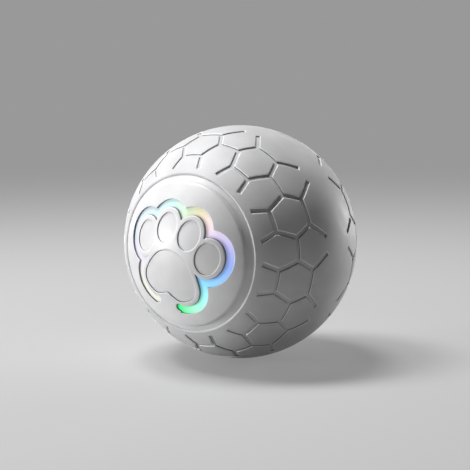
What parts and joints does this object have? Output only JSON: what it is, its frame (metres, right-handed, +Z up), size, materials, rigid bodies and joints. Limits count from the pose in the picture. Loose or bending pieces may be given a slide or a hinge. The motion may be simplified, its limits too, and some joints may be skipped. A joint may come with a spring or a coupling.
{
  "type": "automatic rolling dog ball",
  "caption": "Sealed pet toy ball with a grooved hexagon tread, a glowing paw print cap with a press pad, and a motor-driven hanging weight inside.",
  "frame": {"origin": "centre of the ball", "axes": "+Z up, +Y along the roll axis from the paw cap to the rear cap, +X to the right seen from the paw side"},
  "size_m": [0.0836, 0.0828, 0.0832],
  "materials": {
    "grey_rubber": "matte moulded rubber",
    "black_rubber": "matte",
    "plug_rubber": "matte silicone",
    "white_plastic": "satin moulded plastic",
    "light_strip": "translucent diffuser, lit from behind",
    "black_plastic": "satin",
    "green_board": "solder mask",
    "led_white": "clear resin on a white body",
    "gear_nylon": "moulded nylon",
    "gear_brass": "machined",
    "screw_steel": "zinc plated",
    "bright_steel": "bright",
    "weight_steel": "turned steel",
    "cell_wrap": "shrink wrap over a metal can",
    "lead_red": "wire insulation"
  },
  "bodies": {
    "ball": {"tread_cover": "grey_rubber", "front_shell": "white_plastic", "rear_shell": "white_plastic", "shell_seal_ring": "black_rubber", "shell_screw_1": "screw_steel", "shell_screw_2": "screw_steel", "shell_screw_3": "screw_steel", "shell_screw_4": "screw_steel", "paw_cap": "white_plastic", "light_guide": "light_strip", "button_spring": "bright_steel", "led_board": "green_board", "light_led_1": "led_white", "light_led_2": "led_white", "light_led_3": "led_white", "light_led_4": "led_white", "light_led_5": "led_white", "light_led_6": "led_white", "light_led_7": "led_white", "tact_switch": "black_plastic", "rear_cap": "white_plastic", "usb_port": "bright_steel", "port_board": "green_board", "port_board_screw_1": "screw_steel", "port_board_screw_2": "screw_steel", "chassis": "black_plastic", "chassis_screw_1": "screw_steel", "chassis_screw_2": "screw_steel", "chassis_screw_3": "screw_steel", "gear_plate_screw_1": "screw_steel", "gear_plate_screw_2": "screw_steel", "gear_plate_screw_3": "screw_steel", "battery_cell": "cell_wrap", "main_board": "green_board", "control_chip": "black_plastic", "idler_pin": "bright_steel", "idler_clip": "bright_steel", "gear_plate": "black_plastic", "main_axle": "bright_steel", "axle_bush": "gear_brass", "drive_motor": "bright_steel", "charge_lead": "lead_red", "motor_lead": "lead_red", "battery_lead": "lead_red", "led_lead": "lead_red"},
    "weight": {"output_gear": "gear_nylon", "weight_carrier": "black_plastic", "eccentric_weight": "weight_steel", "weight_screw_1": "screw_steel", "weight_screw_2": "screw_steel"},
    "idler": {"idler_gear": "gear_nylon"},
    "rotor": {"motor_shaft": "bright_steel", "motor_pinion": "gear_brass"},
    "pad": {"paw_button": "white_plastic"},
    "plug": {"port_plug": "plug_rubber"}
  },
  "joints": [
    {"name": "weight_swing", "type": "hinge", "parent": "ball", "child": "weight", "pos_m": [0, 0, 0], "axis": [0, 1, 0], "continuous": true},
    {"name": "idler_spin", "type": "hinge", "parent": "ball", "child": "idler", "pos_m": [0.0052, 0.0158, 0.00955], "axis": [0, 1, 0], "continuous": true},
    {"name": "motor_spin", "type": "hinge", "parent": "ball", "child": "rotor", "pos_m": [0.0104, 0.0143, 0], "axis": [0, 1, 0], "continuous": true},
    {"name": "pad_press", "type": "slide", "parent": "ball", "child": "pad", "axis": [0, 1, 0], "range_m": [0, 0.0008], "stiffness_N_per_m": 600, "springref_m": -0.0005, "deforming": ["button_spring"]},
    {"name": "plug_pull", "type": "slide", "parent": "ball", "child": "plug", "axis": [0, 1, 0], "range_m": [0, 0.012]}
  ],
  "couplings": [
    {"joint": "idler_spin", "follows": "weight_swing", "ratio": -2.2222},
    {"joint": "motor_spin", "follows": "weight_swing", "ratio": 4.9383}
  ]
}
